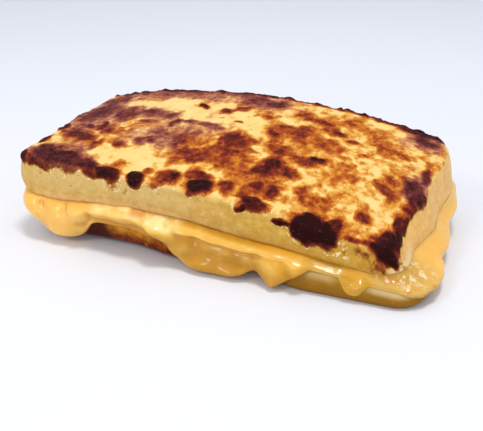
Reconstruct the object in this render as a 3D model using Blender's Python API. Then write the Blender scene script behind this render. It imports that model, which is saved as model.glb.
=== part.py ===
"""Croque monsieur: two browned slices with melted cheese between them, oozing out and hanging down.

All lengths below are in millimetres; the finished bodies are in metres, +Z up, resting on Z = 0.
The seen long side faces -Y, the length runs along X.
"""
import math

import bmesh
import bpy
import numpy as np
from mathutils import Vector, noise

MM = 0.001

# Plan of the stack: a rectangle with rounded corners, shared by the slices and the cheese
HALF_LENGTH = 71.0
HALF_DEPTH = 36.5
CORNER_RADII = (9.0, 6.5, 8.0, 6.0)
FRONT_STEPS, RIGHT_STEPS, BACK_STEPS, LEFT_STEPS = 42, 15, 20, 11
FRONT_CORNER_STEPS, BACK_CORNER_STEPS = 6, 4
GAP = 0.3

# The upper slice sits a little to the left of the lower one
LEAN = -4.0
LEAN_FROM, LEAN_TO = 5.0, 22.0

# Heights along the length, at these stations, for the front and the back edge
STATIONS = (-71, -62, -52, -42, -22, -5, 10, 25, 42, 55, 71)
TOP_FRONT = (32.2, 31.2, 30.4, 29.6, 28.2, 27.2, 25.8, 23.8, 20.4, 18.2, 15.6)
TOP_BACK = (32.8, 35.0, 37.3, 39.0, 40.4, 40.7, 40.3, 39.2, 36.9, 34.4, 30.0)
HIGH_FRONT = (15.8, 14.2, 14.8, 16.4, 16.8, 15.2, 12.6, 11.6, 9.6, 7.8, 7.0)
HIGH_BACK = (19.0, 20.0, 21.5, 23.0, 25.0, 25.0, 24.5, 23.0, 20.5, 17.5, 14.0)
LOW_FRONT = (12.6, 12.4, 12.3, 12.3, 12.0, 11.4, 10.8, 9.8, 8.2, 6.5, 5.7)
LOW_BACK = (13.0, 13.0, 13.2, 13.4, 13.5, 13.5, 13.2, 12.8, 12.0, 11.2, 10.0)
DOME_POWER = 1.7

# Lower slice: rounded underside edge and belly
FOOT_INSET = 3.0
HOLLOW = {"place": 20.0, "half_width": 24.0, "depth": 4.6}
FOOT_HEIGHT = 3.2
LOWER_BELLY = 0.7

# Upper slice: how far its side stands out at the bottom and the top, and the rounding of its rim
SIDE_OUT_LOW = {"front": -0.4, "right": 0.6, "back": -0.6, "left": 0.3}
SIDE_OUT_HIGH = {"front": -1.0, "right": -0.4, "back": -0.8, "left": 1.0}
UPPER_BELLY = 1.0
RIM_RADII = {"front": 3.4, "right": 3.2, "back": 2.0, "left": 2.4}
SOFT_RIM = {"place": 105.0, "half_width": 45.0, "extra": 2.6}

# Cheese: plain band, then the lobes that hang out of it
# Each lobe: place along the outline from the start of the front edge, half width,
# share of the width that is flat, height of its lowest point, extra thickness
BAND_RISE = 1.1
BAND_HANG = 0.9
BAND_THICKNESS = 1.4
LOBES = (
    (9.0, 14.0, 0.38, 2.2, 2.8),
    (66.5, 20.0, 0.42, 0.5, 5.4),
    (88.5, 10.0, 0.1, 0.7, 4.2),
    (115.5, 6.5, 0.3, 2.9, 1.3),
    (153.0, 12.0, 0.2, 1.5, 2.4),
    (178.0, 24.0, 0.3, 3.0, 2.6),
    (250.0, 22.0, 0.2, 4.0, 2.6),
    (312.0, 15.0, 0.1, 6.0, 2.0),
    (372.0, 20.0, 0.2, 5.0, 2.4),
)
LOWEST_CHEESE = 0.4

# Shape of the cheese's edge: shares of the way down behind the hanging part, and the outer face from
# its foot to its crown as (share of the height, share of the thickness), with a rolled bead on top
CURTAIN_SHARES = (0.0, 0.12, 0.3, 0.6, 0.9)
FACE_PROFILE = ((0.0, 0.35), (0.06, 0.8), (0.25, 1.0), (0.5, 0.92), (0.72, 0.85), (0.86, 1.0), (0.96, 0.75))
LIP_SHARES = (1.0, 0.5, 0.0)
UNEVEN_BAND, UNEVEN_THICKNESS = 0.5, 0.22

# Rings of the meshes: shares of the way from the edge to the spine, heights and angles of the roundings
LAYER_INSET, LAYER_SHARES = -3.0, (0.3, 0.9)
TOP_SHARES = (0.02, 0.09, 0.18, 0.3, 0.44, 0.6, 0.78, 0.95)
FOOT_HEIGHTS = (0.0, 0.5, 1.4, 3.2)
SIDE_SHARES = (0.4, 0.75, 1.0)
EDGE_DROPS = (1.8, 0.8, 0.0)
RIM_ANGLES = (25.0, 50.0, 75.0)
CROWN_HEIGHT, CROWN_INSET = 2.0, 0.9

# Relief of the browned top: broad unevenness, and raised charred blisters (x, y, radius, height)
UNEVEN_SIZE, UNEVEN_HEIGHT = 15.0, 0.45
RIM_CRUST_SIZE, RIM_CRUST_HEIGHT = 4.0, 0.8
BLISTERS = (
    (-58, -36, 7.0, 0.6), (-45, -37, 8.0, 0.8), (-34, -36, 5.0, 0.8), (-24, -35, 4.8, 1.1),
    (-1.6, -35, 6.0, 1.3), (18.6, -35, 6.0, 0.9), (30, -37, 6.0, 1.0), (37, -38, 7.0, 1.1),
    (45, -39, 6.0, 1.0), (61, -34, 8.0, 0.9), (65, -28, 6.0, 0.7), (68, -2, 7.0, 0.7),
    (66, 25, 7.0, 0.7), (17, -13, 7.0, 0.5), (1, -5, 8.0, 0.4), (-61, 6, 8.0, 0.5),
)

def smoothstep(low, high, value):
    """Rise from 0 at low to 1 at high with flat ends."""
    share = np.clip((value - low) / (high - low), 0.0, 1.0)
    return share * share * (3.0 - 2.0 * share)


def along(x, heights):
    """Height at x, from the values at the stations, with the kinks rounded off."""
    spread = (-5.0, -2.5, 0.0, 2.5, 5.0)
    return sum(np.interp(x + d, STATIONS, heights) for d in spread) / len(spread)


def across(x, y, front, back, power):
    """Height at (x, y), from a front and a back profile; power above 1 gives a dome."""
    share = np.clip((y + HALF_DEPTH) / (2.0 * HALF_DEPTH), 0.0, 1.0)
    rise = 1.0 - (1.0 - share) ** power
    return along(x, front) * (1.0 - rise) + along(x, back) * rise


def top_height(x, y):
    return across(x, y, TOP_FRONT, TOP_BACK, DOME_POWER)


def high_height(x, y):
    return across(x, y, HIGH_FRONT, HIGH_BACK, 1.0)


def low_height(x, y):
    return across(x, y, LOW_FRONT, LOW_BACK, 1.0)


def outline():
    """Points, outward normals and running length round the plan, from the start of the front edge."""
    signs = ((1, -1), (1, 1), (-1, 1), (-1, -1))
    corners = [(sx * (HALF_LENGTH - r), sy * (HALF_DEPTH - r)) for (sx, sy), r in zip(signs, CORNER_RADII)]
    runs = (FRONT_STEPS, RIGHT_STEPS, BACK_STEPS, LEFT_STEPS)
    arcs = (FRONT_CORNER_STEPS, BACK_CORNER_STEPS, BACK_CORNER_STEPS, FRONT_CORNER_STEPS)
    points, normals = [], []
    for side in range(4):
        heading = -math.pi / 2 + side * math.pi / 2
        start, end = np.array(corners[side - 1]), np.array(corners[side])
        normal = np.array((math.cos(heading), math.sin(heading)))
        start = start + normal * CORNER_RADII[side - 1]
        for step in range(runs[side]):
            points.append(start + (end + normal * CORNER_RADII[side] - start) * step / runs[side])
            normals.append(normal)
        for step in range(arcs[side]):
            angle = heading + math.pi / 2 * step / arcs[side]
            normal = np.array((math.cos(angle), math.sin(angle)))
            points.append(end + normal * CORNER_RADII[side])
            normals.append(normal)
    points, normals = np.array(points), np.array(normals)
    steps = np.linalg.norm(np.roll(points, -1, axis=0) - points, axis=1)
    return points, normals, np.concatenate(([0.0], np.cumsum(steps)[:-1])), steps.sum()


POINTS, NORMALS, RUN, PERIMETER = outline()
COUNT = len(POINTS)


def by_side(values):
    """Blend one value per side by the direction that the outline faces."""
    weights = {"front": -NORMALS[:, 1], "back": NORMALS[:, 1], "right": NORMALS[:, 0], "left": -NORMALS[:, 0]}
    total = sum(np.clip(w, 0, None) ** 2 for w in weights.values())
    return sum(values[k] * np.clip(w, 0, None) ** 2 for k, w in weights.items()) / total


def ring(offset, height):
    """One closed ring at an offset out from the outline."""
    flat = POINTS + NORMALS * np.broadcast_to(offset, COUNT)[:, None]
    return np.column_stack((flat, np.broadcast_to(height, COUNT)))


def inner_ring(offset, share, surface):
    """A ring between the offset outline (share 0) and the spine of the plan (share 1), on a surface."""
    flat = ring(offset, 0.0)[:, :2]
    reach = HALF_LENGTH - HALF_DEPTH
    spine = np.column_stack((np.clip(flat[:, 0], -reach, reach), np.zeros(COUNT)))
    flat = flat + (spine - flat) * share
    return np.column_stack((flat, surface(flat[:, 0], flat[:, 1])))


def near(place, half_width, flat=0.0):
    """Strength round the outline: 1 in the middle of a stretch, 0 beyond it."""
    away = np.abs((RUN - place + PERIMETER / 2) % PERIMETER - PERIMETER / 2) / half_width
    return 1.0 - smoothstep(flat, 1.0, away)


def wave(size, seed):
    """Smooth uneven values round the outline, between about -1 and 1."""
    angle = RUN / PERIMETER * 2 * math.pi
    turn = PERIMETER / (2 * math.pi * size)
    return np.array([noise.noise(Vector((math.cos(a) * turn, math.sin(a) * turn, seed))) for a in angle])


def relief(points):
    """How much the browned surface stands up at the points of a ring."""
    broad = np.array([noise.noise(Vector((x / UNEVEN_SIZE, y / UNEVEN_SIZE, 5.0))) for x, y, _ in points])
    raised = UNEVEN_HEIGHT * broad
    for x, y, radius, height in BLISTERS:
        away = np.hypot(points[:, 0] - x, points[:, 1] - y) / radius
        raised = raised + height * (1.0 - smoothstep(0.35, 1.0, away))
    return raised


def rim_crust():
    """Uneven crust that stands up along the back rim."""
    return RIM_CRUST_HEIGHT * np.abs(wave(RIM_CRUST_SIZE, 11.0)) * np.clip(NORMALS[:, 1], 0.0, 1.0)


def low_edge():
    edge = POINTS - NORMALS * 1.0
    return low_height(edge[:, 0], edge[:, 1])


def high_edge():
    edge = POINTS - NORMALS * 1.0
    return high_height(edge[:, 0], edge[:, 1])


def lower_side(height):
    """How far the lower slice's side stands out at a height."""
    foot = np.clip(1.0 - height / FOOT_HEIGHT, 0.0, 1.0)
    crown = np.clip(1.0 - (low_edge() - height) / CROWN_HEIGHT, 0.0, 1.0)
    belly = LOWER_BELLY * np.sin(np.pi * np.clip(height / low_edge(), 0.0, 1.0))
    hollow = HOLLOW["depth"] * near(HOLLOW["place"], HOLLOW["half_width"], 0.3)
    drawn_in = hollow * np.clip(1.0 - height / low_edge(), 0.0, 1.0)
    return belly - FOOT_INSET * foot ** 2 - CROWN_INSET * crown ** 2 - drawn_in


def upper_side(height):
    """How far the upper slice's side stands out at a height."""
    base = high_edge()
    span = rim_start() - base
    share = np.clip((height - base) / span, 0.0, 1.0)
    foot = np.clip(1.0 - (height - base) / CROWN_HEIGHT, 0.0, 1.0)
    straight = by_side(SIDE_OUT_LOW) * (1.0 - share) + by_side(SIDE_OUT_HIGH) * share
    return straight + UPPER_BELLY * np.sin(np.pi * share) - CROWN_INSET * foot ** 2


def rim_start():
    """Height at which the upper slice's rim starts to roll over."""
    radius = rim_radius()
    edge = POINTS + NORMALS * (by_side(SIDE_OUT_HIGH) - radius)[:, None]
    return top_height(edge[:, 0], edge[:, 1]) - radius


def rim_radius():
    """Rounding of the upper slice's rim, softest towards the right of the front edge."""
    return by_side(RIM_RADII) + SOFT_RIM["extra"] * near(SOFT_RIM["place"], SOFT_RIM["half_width"])


def lobe_shares():
    """For every lobe, its strength round the outline."""
    return [near(place, half_width, flat) for place, half_width, flat, _, _ in LOBES]


def cheese_bottom():
    """Height to which the cheese hangs, round the outline."""
    plain = low_edge() - BAND_HANG
    bottom = plain.copy()
    for share, (_, _, _, lowest, _) in zip(lobe_shares(), LOBES):
        bottom = np.minimum(bottom, plain + (lowest - plain) * share)
    return np.maximum(bottom, LOWEST_CHEESE)


def cheese_thickness():
    """How far the cheese stands out of the slices, round the outline."""
    extra = np.zeros(COUNT)
    for share, (_, _, _, _, thick) in zip(lobe_shares(), LOBES):
        extra = np.maximum(extra, thick * share)
    return (BAND_THICKNESS + extra) * (1.0 + UNEVEN_THICKNESS * wave(10.0, 3.0))


def lower_rings():
    """Rings of the lower slice, from the underside to the middle of its top."""
    rings = [ring(lower_side(np.full(COUNT, height)), height) for height in FOOT_HEIGHTS]
    edge = low_edge()
    shoulder = edge - EDGE_DROPS[0]
    for share in SIDE_SHARES[:-1]:
        height = FOOT_HEIGHT + (shoulder - FOOT_HEIGHT) * share
        rings.append(ring(lower_side(height), height))
    rings += [ring(lower_side(edge - drop), edge - drop) for drop in EDGE_DROPS]
    return rings + [inner_ring(LAYER_INSET, share, low_height) for share in LAYER_SHARES]


def upper_rings():
    """Rings of the upper slice, from the middle of its underside to the middle of its top."""
    rings = [inner_ring(LAYER_INSET, share, high_height) for share in reversed(LAYER_SHARES)]
    base, shoulder = high_edge(), rim_start()
    for rise in (0.0, CROWN_HEIGHT / 2, CROWN_HEIGHT):
        rings.append(ring(upper_side(base + rise), base + rise))
    for share in SIDE_SHARES:
        height = base + CROWN_HEIGHT + (shoulder - base - CROWN_HEIGHT) * share
        rings.append(ring(upper_side(height), height))
    return rings + rim_rings() + top_rings()


def rim_rings():
    """Rings over the rounded rim, lifted by the blisters and the back crust."""
    out, radius, shoulder = by_side(SIDE_OUT_HIGH), rim_radius(), rim_start()
    rings = []
    for angle in (math.radians(a) for a in RIM_ANGLES):
        plain = ring(out - radius * (1 - math.cos(angle)), shoulder + radius * math.sin(angle))
        raised = relief(plain) * math.sin(angle) + rim_crust()
        plain[:, :2] += NORMALS * (raised * math.cos(angle))[:, None]
        plain[:, 2] += raised * math.sin(angle)
        rings.append(plain)
    return rings


def top_rings():
    """Rings over the browned top, from inside the rim to the spine."""
    inset = by_side(SIDE_OUT_HIGH) - rim_radius()
    rings = []
    for share in TOP_SHARES:
        plain = inner_ring(inset, share, top_height)
        plain[:, 2] += relief(plain) + rim_crust() * (1.0 - smoothstep(0.0, 0.12, share))
        rings.append(plain)
    return rings


def cheese_rings():
    """Rings of the cheese, from the middle of its underside, round its edge, to the middle of its top."""
    under = [inner_ring(LAYER_INSET, share, lambda x, y: low_height(x, y) + GAP) for share in LAYER_SHARES]
    over = [inner_ring(LAYER_INSET, share, lambda x, y: high_height(x, y) - GAP) for share in LAYER_SHARES]
    return under[::-1] + curtain_rings() + face_rings() + lip_rings() + over


def curtain_rings():
    """Back of the hanging cheese, close along the lower slice."""
    low, bottom = low_edge() + GAP, cheese_bottom()
    rings = []
    for share in CURTAIN_SHARES:
        height = low + (bottom - low) * share
        rings.append(ring(lower_side(np.maximum(height, FOOT_HEIGHT)) + GAP, height))
    return rings


def cheese_top():
    """Height of the cheese's rolled bead, round the outline."""
    return high_edge() + BAND_RISE + UNEVEN_BAND * wave(8.0, 7.0)


def face_rings():
    """Outer face of the cheese, from its foot to its bead."""
    bottom, top, thick = cheese_bottom(), cheese_top(), cheese_thickness()
    foot = lower_side(np.maximum(bottom, FOOT_HEIGHT)) + GAP
    crown = upper_side(top) + GAP
    rings = []
    for share, out in FACE_PROFILE:
        offset = foot + (crown - foot) * share + thick * out
        rings.append(ring(offset, bottom + (top - bottom) * share))
    return rings


def lip_rings():
    """Inside of the bead, close along the upper slice."""
    high, top = high_edge() - GAP, cheese_top()
    rings = []
    for share in LIP_SHARES:
        height = high + (top - high) * share
        rings.append(ring(upper_side(np.maximum(height, high_edge())) + GAP, height))
    return rings


def lean(points):
    """Shift to the left with height, so that the upper slice sits off the lower one."""
    moved = points.copy()
    moved[:, 0] += LEAN * smoothstep(LEAN_FROM, LEAN_TO, points[:, 2])
    return moved


def close(mesh, row):
    """Close the narrow slot inside the last ring by a strip from its left to its right end."""
    first = min(range(COUNT), key=lambda i: (row[i].co.x, row[i].co.y))
    last = max(range(COUNT), key=lambda i: (row[i].co.x, row[i].co.y))
    front, back = [first], [first]
    while front[-1] != last:
        front.append((front[-1] + 1) % COUNT)
    while back[-1] != last:
        back.append((back[-1] - 1) % COUNT)
    i = j = 0
    while i + 1 < len(front) or j + 1 < len(back):
        ahead = i + 1 < len(front) and (j + 1 == len(back) or row[front[i + 1]].co.x <= row[back[j + 1]].co.x)
        if ahead:
            corners = (row[front[i]], row[front[i + 1]], row[back[j]])
            i += 1
        else:
            corners = (row[front[i]], row[back[j + 1]], row[back[j]])
            j += 1
        if len(set(corners)) == 3:
            mesh.faces.new(corners)


def body(name, rings, colour, roughness):
    """Join rings into one closed body with its own material."""
    mesh = bmesh.new()
    rows = [[mesh.verts.new(p) for p in lean(r) * MM] for r in rings]
    for lower, upper in zip(rows, rows[1:]):
        for i in range(COUNT):
            j = (i + 1) % COUNT
            mesh.faces.new((lower[i], lower[j], upper[j], upper[i]))
    close(mesh, rows[0])
    close(mesh, rows[-1])
    bmesh.ops.triangulate(mesh, faces=mesh.faces[:], quad_method="BEAUTY", ngon_method="BEAUTY")
    bmesh.ops.recalc_face_normals(mesh, faces=mesh.faces[:])
    data = bpy.data.meshes.new(name)
    mesh.to_mesh(data)
    mesh.free()
    data.materials.append(material(name, colour, roughness))
    made = bpy.data.objects.new(name, data)
    bpy.context.scene.collection.objects.link(made)
    return made


def material(name, colour, roughness):
    made = bpy.data.materials.new(name)
    made.use_nodes = True
    shader = made.node_tree.nodes["Principled BSDF"]
    shader.inputs["Base Color"].default_value = (*colour, 1.0)
    shader.inputs["Roughness"].default_value = roughness
    shader.inputs["Metallic"].default_value = 0.0
    return made


def centre(objects):
    """Put the middle of the whole over the origin."""
    places = np.array([v.co for o in objects for v in o.data.vertices])
    low, high = places.min(axis=0), places.max(axis=0)
    shift = Vector(((low[0] + high[0]) / 2, (low[1] + high[1]) / 2, low[2]))
    for made in objects:
        for vertex in made.data.vertices:
            vertex.co -= shift


def main():
    for old in list(bpy.data.objects):
        bpy.data.objects.remove(old, do_unlink=True)
    parts = [
        body("bottom_slice", lower_rings(), (0.60, 0.38, 0.10), 0.45),
        body("melted_cheese", cheese_rings(), (0.80, 0.42, 0.07), 0.25),
        body("top_slice", upper_rings(), (0.62, 0.33, 0.11), 0.5),
    ]
    centre(parts)


main()
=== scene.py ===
"""The look of the croque monsieur: two browned slices with melted cheese running out between them."""
import math

import bpy
import numpy as np
from mathutils import Matrix, Vector, noise


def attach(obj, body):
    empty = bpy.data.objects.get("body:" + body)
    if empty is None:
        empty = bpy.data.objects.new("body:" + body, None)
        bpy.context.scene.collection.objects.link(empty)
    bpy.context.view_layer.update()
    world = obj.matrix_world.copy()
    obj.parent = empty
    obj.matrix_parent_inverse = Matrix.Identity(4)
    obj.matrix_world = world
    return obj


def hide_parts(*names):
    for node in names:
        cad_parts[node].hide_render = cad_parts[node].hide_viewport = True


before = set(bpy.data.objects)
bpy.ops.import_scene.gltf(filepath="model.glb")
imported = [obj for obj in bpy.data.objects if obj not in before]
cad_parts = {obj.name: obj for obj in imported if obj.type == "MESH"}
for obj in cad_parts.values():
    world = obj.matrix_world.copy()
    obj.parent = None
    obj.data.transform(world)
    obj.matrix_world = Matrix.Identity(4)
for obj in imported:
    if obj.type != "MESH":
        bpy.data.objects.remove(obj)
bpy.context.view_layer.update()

MM = 0.001
# How far light scatters under the surface, in metres
SCATTER = 0.003

# Plan and heights, in millimetres, as in the solids
HALF_LENGTH, HALF_DEPTH = 71, 36.5
# The middle of the solids' plan, from the plan used here
MIDDLE = np.array((-1.187, -1.5658, 0))
CORNER_RADII = (9, 6.5, 8, 6)
FINE = 7
FRONT_STEPS, RIGHT_STEPS, BACK_STEPS, LEFT_STEPS = 42 * FINE, 15 * FINE, 20 * FINE, 11 * FINE
FRONT_CORNER_STEPS, BACK_CORNER_STEPS = 6 * FINE, 4 * FINE
GAP = 0.3
LEAN, LEAN_FROM, LEAN_TO = -4, 5, 22
STATIONS = (-71, -62, -52, -42, -22, -5, 10, 25, 42, 55, 71)
TOP_FRONT = (32.2, 31.2, 30.4, 29.6, 28.2, 27.2, 25.8, 23.8, 20.4, 18.2, 15.6)
TOP_BACK = (32.8, 35, 37.3, 39, 40.4, 40.7, 40.3, 39.2, 36.9, 34.4, 30)
HIGH_FRONT = (17, 15.3, 15.4, 16.5, 17, 16, 13.2, 11.9, 9.7, 7.8, 7)
HIGH_BACK = (19, 20, 21.5, 23, 25, 25, 24.5, 23, 20.5, 17.5, 14)
LOW_FRONT = (12.6, 12.4, 12.3, 12.3, 12, 11.4, 10.8, 9.8, 8.2, 6.5, 5.7)
LOW_BACK = (13, 13, 13.2, 13.4, 13.5, 13.5, 13.2, 12.8, 12, 11.2, 10)
DOME_POWER = 1.7
EDGE_INSET = 1
# Shifts along the outline over which the tables are evened out
STATION_SHIFTS, CHEESE_SHIFTS = (-5, -2.5, 0, 2.5, 5), (-1.4, -0.7, 0, 0.7, 1.4)
# Right end of the upper slice: how far out it stands towards the back, and how far in at the front corner
END_OUT, END_IN = 3.9, 6.2
FOOT_INSET, FOOT_HEIGHT, LOWER_BELLY = 3, 3.2, 0.7
SIDE_OUT_LOW = {"front": -0.4, "right": 0.6, "back": -0.6, "left": 0.3}
SIDE_OUT_HIGH = {"front": -1, "right": -0.4, "back": -0.8, "left": 1}
UPPER_BELLY = 1
RIM_RADII = {"front": 3.4, "right": 3.2, "back": 2, "left": 2.4}
SOFT_RIM_EXTRA, HOLLOW_DEPTH, LEDGE_OUT, LEDGE_FOOT = 2.6, 4.6, 3.3, 2.2
LOWEST_CHEESE = 0.4
# Stretches of the outline: run at the middle, half width, share of it at full strength. FILM is where the cheese
# is only a film, SOFT where it runs smoothly up the upper slice.
HOLLOW, LEDGE, SOFT_RIM = (18, 36, 0.3), (112, 34, 0.4), (105, 45)
FILM = (122, 24, 0.6)
SOFT = (152, 58, 0.7)
HIDDEN_BACK = (272, 84, 0.7)
THIN_LIP = (130, 20, 0.6)
SLOPED = (136, 24, 0.6)
BUMPY = (137, 16, 0.4)
# Stretches of the outline where a wet highlight is painted on the top of the lower slice
PAINTED_HIGHLIGHT_LEFT, PAINTED_HIGHLIGHT_RIGHT = (103.5, 6.5, 0.4), (125, 8, 0.4)
# Thickness of the plain band of cheese: run along the outline, millimetres
BAND = (
    (-38, 1.5), (0, 1.4), (48, 1.3), (60, 0.9), (98, 1), (104, 0.7), (110, 0.45), (122, 0.45), (131, 0.6),
    (141, 1.2), (160, 1.6), (379.3, 1.5),
)
# How far the cheese reaches up the upper slice: run along the outline, millimetres
RISE = (
    (-38, 1.2), (18, 1.1), (24, 0.9), (38, 1.2), (47, 0.5), (53, 0.2), (60, 0.9), (96, 1), (101, 0.5),
    (108, 0.4), (113, 0.9), (120, 1.8), (128, 2.4), (138, 2.8), (150, 2.6), (170, 3), (186, 3.8), (197, 4),
    (207, 2), (213, 1.2), (379.3, 1.2),
)
# Lowest line of the cheese: run along the outline from the start of the front edge, height
CHEESE_LOW = (
    (-38, 5.4), (-30, 5.6), (-22, 8.8), (-16, 10.2), (-11, 10.2), (-7, 9.4), (-4, 8.4), (-1.5, 6.9), (0.8, 4.7),
    (3.2, 2.7), (6, 1.8), (9.2, 1.6), (12, 2), (14.2, 3.3), (16.4, 5.9), (18.8, 8.7), (21.6, 10.2),
    (26, 10.6), (33, 10.4), (39, 10), (44, 9.2), (48.6, 7.9), (53.6, 4.4), (57, 2), (60, 0.9), (64, 0.5),
    (70, 0.5), (74, 0.8), (77.5, 1.8), (80.2, 3.7), (82.3, 4.1), (84.3, 2.4), (86.3, 0.8), (88, 0.5), (90, 1.2),
    (93, 3.6), (96, 6.2), (99, 8.2), (102, 9.2), (106, 9.2), (109.8, 8.6), (110.8, 5.6), (112.2, 3.4),
    (114.4, 2.6), (116.2, 2.6), (117.4, 3.8), (118.6, 7), (126, 6.6), (131, 4.6), (136, 3.2), (141, 3),
    (146, 2.2), (153, 1.5), (160, 2.6), (168, 3.4), (178, 3), (190, 4.2), (198, 7.5), (208, 9.6), (222, 9),
    (236, 6), (246, 4.2), (256, 4.6), (264, 8), (276, 10.8), (281, 9.8), (284, 6), (286.5, 4.8),
    (289, 6.6), (292, 10.6), (300, 9.6), (308, 6.6), (316, 6.4), (326, 9.8), (333, 10.6), (336, 7.8),
    (338.5, 6.6), (341, 8.4), (344, 11.2), (352, 10.5), (362, 6.8), (372, 5.2), (379.3, 5.4),
)
# Folds and drops in the cheese: run, height, half length, half height, turn in degrees, thickness
FOLDS = (
    (-8, 13, 8.5, 4, -20, 3.2), (0, 10.8, 9.5, 5.6, -34, 3.9), (7.5, 8.2, 11, 9.4, 8, 5.3),
    (16.5, 13.6, 8, 4.6, 40, 5), (6.2, 5, 9, 5.4, 0, 4.6), (25, 15.2, 7.5, 3.8, -10, 3.4),
    (35, 15.6, 11, 4.8, 2, 4), (37, 17, 8, 1.9, 0, 4.6), (47.5, 14.6, 4.8, 3.6, -30, 6),
    (45, 14.4, 8.5, 4.6, -20, 4.2), (50.5, 13.2, 8.5, 5.6, -24, 5.2), (58, 15, 9.5, 3.2, -5, 4.9),
    (68, 13.8, 10, 2.7, -8, 5.2), (78, 12.6, 10, 2.6, -5, 4.9), (88, 12.2, 9.5, 2.8, -3, 4.6),
    (95.5, 10.8, 7.5, 2.4, -10, 3), (103, 9.8, 5, 1.3, -6, 0.8), (63, 3, 13, 5.8, 6, 5),
    (74, 2.2, 11, 5.6, 0, 4.9), (56, 8.4, 8.5, 6.6, 45, 4), (68, 7.5, 17, 8.5, 2, 3.9),
    (87.8, 6.8, 7.6, 8.2, 0, 4.5), (88.4, 2, 4, 4.4, 0, 4.2), (80, 8, 8, 5, 0, 3.4),
    (95, 9, 8.5, 4.6, -35, 3.2), (114.4, 5.4, 4.6, 4.6, 0, 1.7), (135, 5.2, 7, 3.2, 0, 0.9),
    (148, 6.4, 13, 6.4, 5, 3.1), (166, 8.6, 15, 6.6, 4, 3.4), (186, 12.6, 15, 6.2, 8, 3.2),
    (199, 16, 9, 4.2, 4, 3.2), (214, 14.5, 9, 3.4, 6, 2.4), (232, 13, 11, 5, -8, 3),
    (247, 9.5, 11, 7.5, 10, 3.6), (251, 6, 9, 3.6, 0, 3.4), (262, 16, 12, 3.4, 0, 2.6),
    (282, 17, 13, 3.4, 4, 2.6), (300, 15.5, 9, 4.4, -10, 2.8), (286.5, 9, 4.4, 7, 0, 3.6),
    (312, 11.5, 8.5, 6.4, 6, 3.4), (326, 16, 10, 3.6, 4, 2.4), (342, 15, 9, 3.4, 0, 2.2),
    (338.5, 10.4, 4.2, 6, 0, 3.2), (360, 12, 9, 4.6, 10, 2.8), (372, 9.8, 11, 5.6, -6, 3.2),
    (388, 12.6, 9, 4.2, 0, 2.6), (400, 14, 7, 3.4, 0, 2.2),
)
# Rings of the hidden layer faces, and how many rings each part of a piece has
LAYER_INSET, LAYER_SHARES = -3, (0.3, 0.9)
FOOT_RINGS, SIDE_RINGS, RIM_RINGS, TOP_RINGS = 6, 24, 12, 64
BEHIND_RINGS, CHEESE_RINGS, TUCK_RINGS = 10, 66, 6
LOWER_FOOT_RINGS, LOWER_SIDE_RINGS, LOWER_CROWN_RINGS, LOWER_CROWN = 9, 18, 6, 1.8
# Distance down the side that stands for parts that no browning reaches
FAR_DOWN = 99
CROWN_HEIGHT, CROWN_INSET = 2, 0.9

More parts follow.
